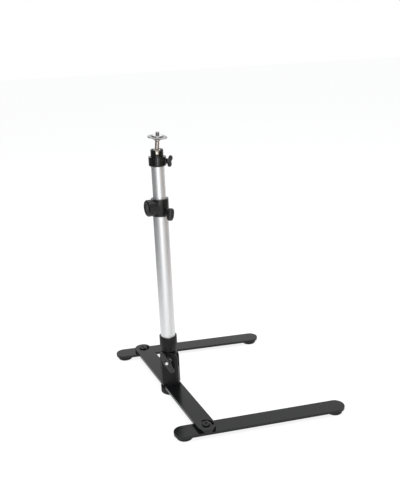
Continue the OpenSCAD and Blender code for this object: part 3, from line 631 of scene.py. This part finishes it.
wing_outline = squarish(wing_high.x, paddle, fullness=3.4, count=128)
wing = moulding(wing_outline, rounded(wing_back, wing_front, wing_round))
insert_ring = turned([(radius, wing_end - deep) for radius, deep in ring_rows], steps=64)
hub = turned([
    (bolt_hole_r, wing_low.z), (hub_r - hub_edge, wing_low.z), (hub_r, wing_low.z + hub_edge),
    (hub_r, wing_back + hub_sunk)], steps=64)
shells = [wing] + [(points, faces[:-2]) for points, faces in (insert_ring, hub)]
piece("wing_knob", shells, on_tilt, "tilt_knob", "tilt_knob_body", crease=50)

# %% [markdown]
# The two thumb knobs are smaller mouldings of one kind: a round hub that runs out into
# a wing. The head's knob has two lobes with a dip between them, and the collar's is a
# full oval. The wing is drawn flat in a frame that is turned on its side, because its
# outline stands along the screw.

# %% Thumb knobs
# Shares of the wing's length, its length, its thickness and its reach to each side
WING_MIDDLE, WING_HALF, WING_ROUND, DIP_REACH = 0.55, 0.45, 0.36, 0.3
# The hub inside the wing: shares of its own radius, and of the wing's length
NOSE_ROWS = (1.0, 0.3), (0.8, 0.55)
# The end of the hub in the wing: millimetres, and a share of the wing's length
NOSE_R, NOSE_END = 1, 0.66
# The back of the hub: a share of its radius, and millimetres
BACK_SHARE, BACK_EDGE = 0.6, 0.5


def thumb_knob(name, node, turn, hub_r, thick, length, waist, fullness):
    """A knob on a screw, with a wing that is `length` long and a hub behind it."""
    on_screw = frame_on(node + "_turn", turn)
    low, high = extent(node, on_screw)
    start = high.z - length
    middle, half = start + length * WING_MIDDLE, length * WING_HALF

    def lobes(point):
        x, y = point
        dip = waist * math.exp(-(x / (high.x * DIP_REACH)) ** 2) if y > 0 else 0
        return x, middle + y - dip

    outline = [lobes(p) for p in squarish(high.x, half, fullness)]
    wing = moulding(outline, rounded(-thick / 2, thick / 2, thick * WING_ROUND))
    on_side = Matrix.Rotation(math.radians(90), 4, "X")
    standing = [tuple(on_side @ Vector(p)) for p in wing[0]], wing[1]
    nose = [(hub_r * across, start + length * along) for across, along in NOSE_ROWS]
    barrel = turned([
        (hub_r * BACK_SHARE, low.z), (hub_r - BACK_EDGE, low.z), (hub_r, low.z + BACK_EDGE),
        *nose, (NOSE_R, start + length * NOSE_END)], steps=48)
    piece(name, [standing, barrel], on_screw, node, node + "_body", crease=50)


thumb_knob("collar_thumb_knob", "collar_knob", turn=-12, hub_r=5.2, thick=10.6, length=11.5,
           waist=0, fullness=2.5)
thumb_knob("head_thumb_knob", "head_knob", turn=-34, hub_r=4.3, thick=5.4, length=8,
           waist=1.6, fullness=2.9)

# %% [markdown]
# A studio for a small product is a white sweep with large soft lights. The world shows
# white to the camera and to reflections, but lights the object with half of that, so
# the background stays white and the lamps still shape the object.

# %% World
world = bpy.data.worlds.new("studio")
scene.world = world
room = Graph(world, "Background", "World Output")
room.set(Color=(1, 1, 1, 1), Strength=1.0)
soft_fill = room.node("ShaderNodeBackground", {}, Color=(0.97, 0.985, 1, 1), Strength=0.5)
room.show(room.own(), lit=soft_fill["Background"])
print("world has", len(room.tree.nodes), "nodes")

# %% [markdown]
# The floor does as the world does, and is so wide that its far edge hardly shows
# against the world. It glows only in part, so that it keeps the object's shadow.

# %% Floor
def staged(name, corners, faces, finish):
    """Something in the room that isn't part of the object."""
    mesh = bpy.data.meshes.new(name)
    mesh.from_pydata(corners, [], faces)
    mesh.materials.append(finish)
    made = bpy.data.objects.new(name, mesh)
    scene.collection.objects.link(made)
    return made


FLOOR = 12.0
GLOW = 0.7
sweep = Finish("floor", Base_Color=grey(0.92), Roughness=1.0, Specular_IOR_Level=0.0)
glow = sweep.node("ShaderNodeEmission", {}, Color=(1, 1, 1, 1), Strength=1.2)
sweep.show(glow["Emission"], lit=sweep.own(), share=GLOW)
floor_corners = [(-FLOOR, -FLOOR, 0), (FLOOR, -FLOOR, 0), (FLOOR, FLOOR, 0), (-FLOOR, FLOOR, 0)]
staged("floor", floor_corners, [(0, 1, 2, 3)], sweep.material)
print("floor is", 2 * FLOOR, "m wide")

# %% [markdown]
# Metal needs something dark to mirror as well, or it looks like paper. Two curved
# flags stand beside the object and show only in reflections, so the tubes and the
# chrome get darker flanks with a bright band between them, as in a real studio. The
# flags leave two gaps: one in front, where the bright band comes from, and one behind,
# which the flat tops of the bars mirror. Their ends are given as angles from the
# camera's side of the post.

# %% Flags for the reflections
FLAG_AWAY, FLAG_FOOT, FLAG_TALL = 0.5, 0.001, 1.1
TOWARD_CAMERA = math.degrees(math.atan2(PLACE.y, PLACE.x))


def flag(name, first, last, shade, steps=12):
    turns = [math.radians(TOWARD_CAMERA + first + (last - first) * k / steps) for k in range(steps + 1)]
    corners = [(FLAG_AWAY * math.cos(a), FLAG_AWAY * math.sin(a), z)
               for z in (FLAG_FOOT, FLAG_TALL) for a in turns]
    faces = [(k, k + 1, steps + 2 + k, steps + 1 + k) for k in range(steps)]
    cloth = Finish(name, Base_Color=shade, Roughness=1.0, Specular_IOR_Level=0.0)
    made = staged(name, corners, faces, cloth.material)
    made.visible_camera = made.visible_diffuse = made.visible_transmission = False
    made.visible_shadow = made.visible_volume_scatter = False
    return made


flags = [flag("left_flag", -30, -145, grey(0.26)), flag("right_flag", 30, 120, grey(0.44, 0.08))]
print("flags:", [made.name for made in flags])

# %% [markdown]
# Four area lamps do the lighting. The key stands behind the camera, tall and narrow.
# The other three are large and soft, and fill in from the right, the left and above.

# %% Lamps
def lamp(name, place, size, power, target=(0, 0, 0.2)):
    light = bpy.data.lights.new(name, "AREA")
    light.shape = "RECTANGLE"
    light.size, light.size_y = size
    light.energy = power
    made = bpy.data.objects.new(name, light)
    made.location = place
    made.rotation_euler = (Vector(target) - Vector(place)).to_track_quat("-Z", "Y").to_euler()
    scene.collection.objects.link(made)


lamp("key", place=(-0.5, -1.3, 0.6), size=(0.35, 1.2), power=4.5, target=(0, 0, 0.35))
lamp("fill", place=(1.5, -1.0, 1.4), size=(1.2, 1.2), power=9)
lamp("side", place=(-1.6, 0.5, 1.5), size=(1.2, 1.2), power=7)
lamp("top", place=(0.1, 0.2, 2.0), size=(1.6, 1.6), power=12)
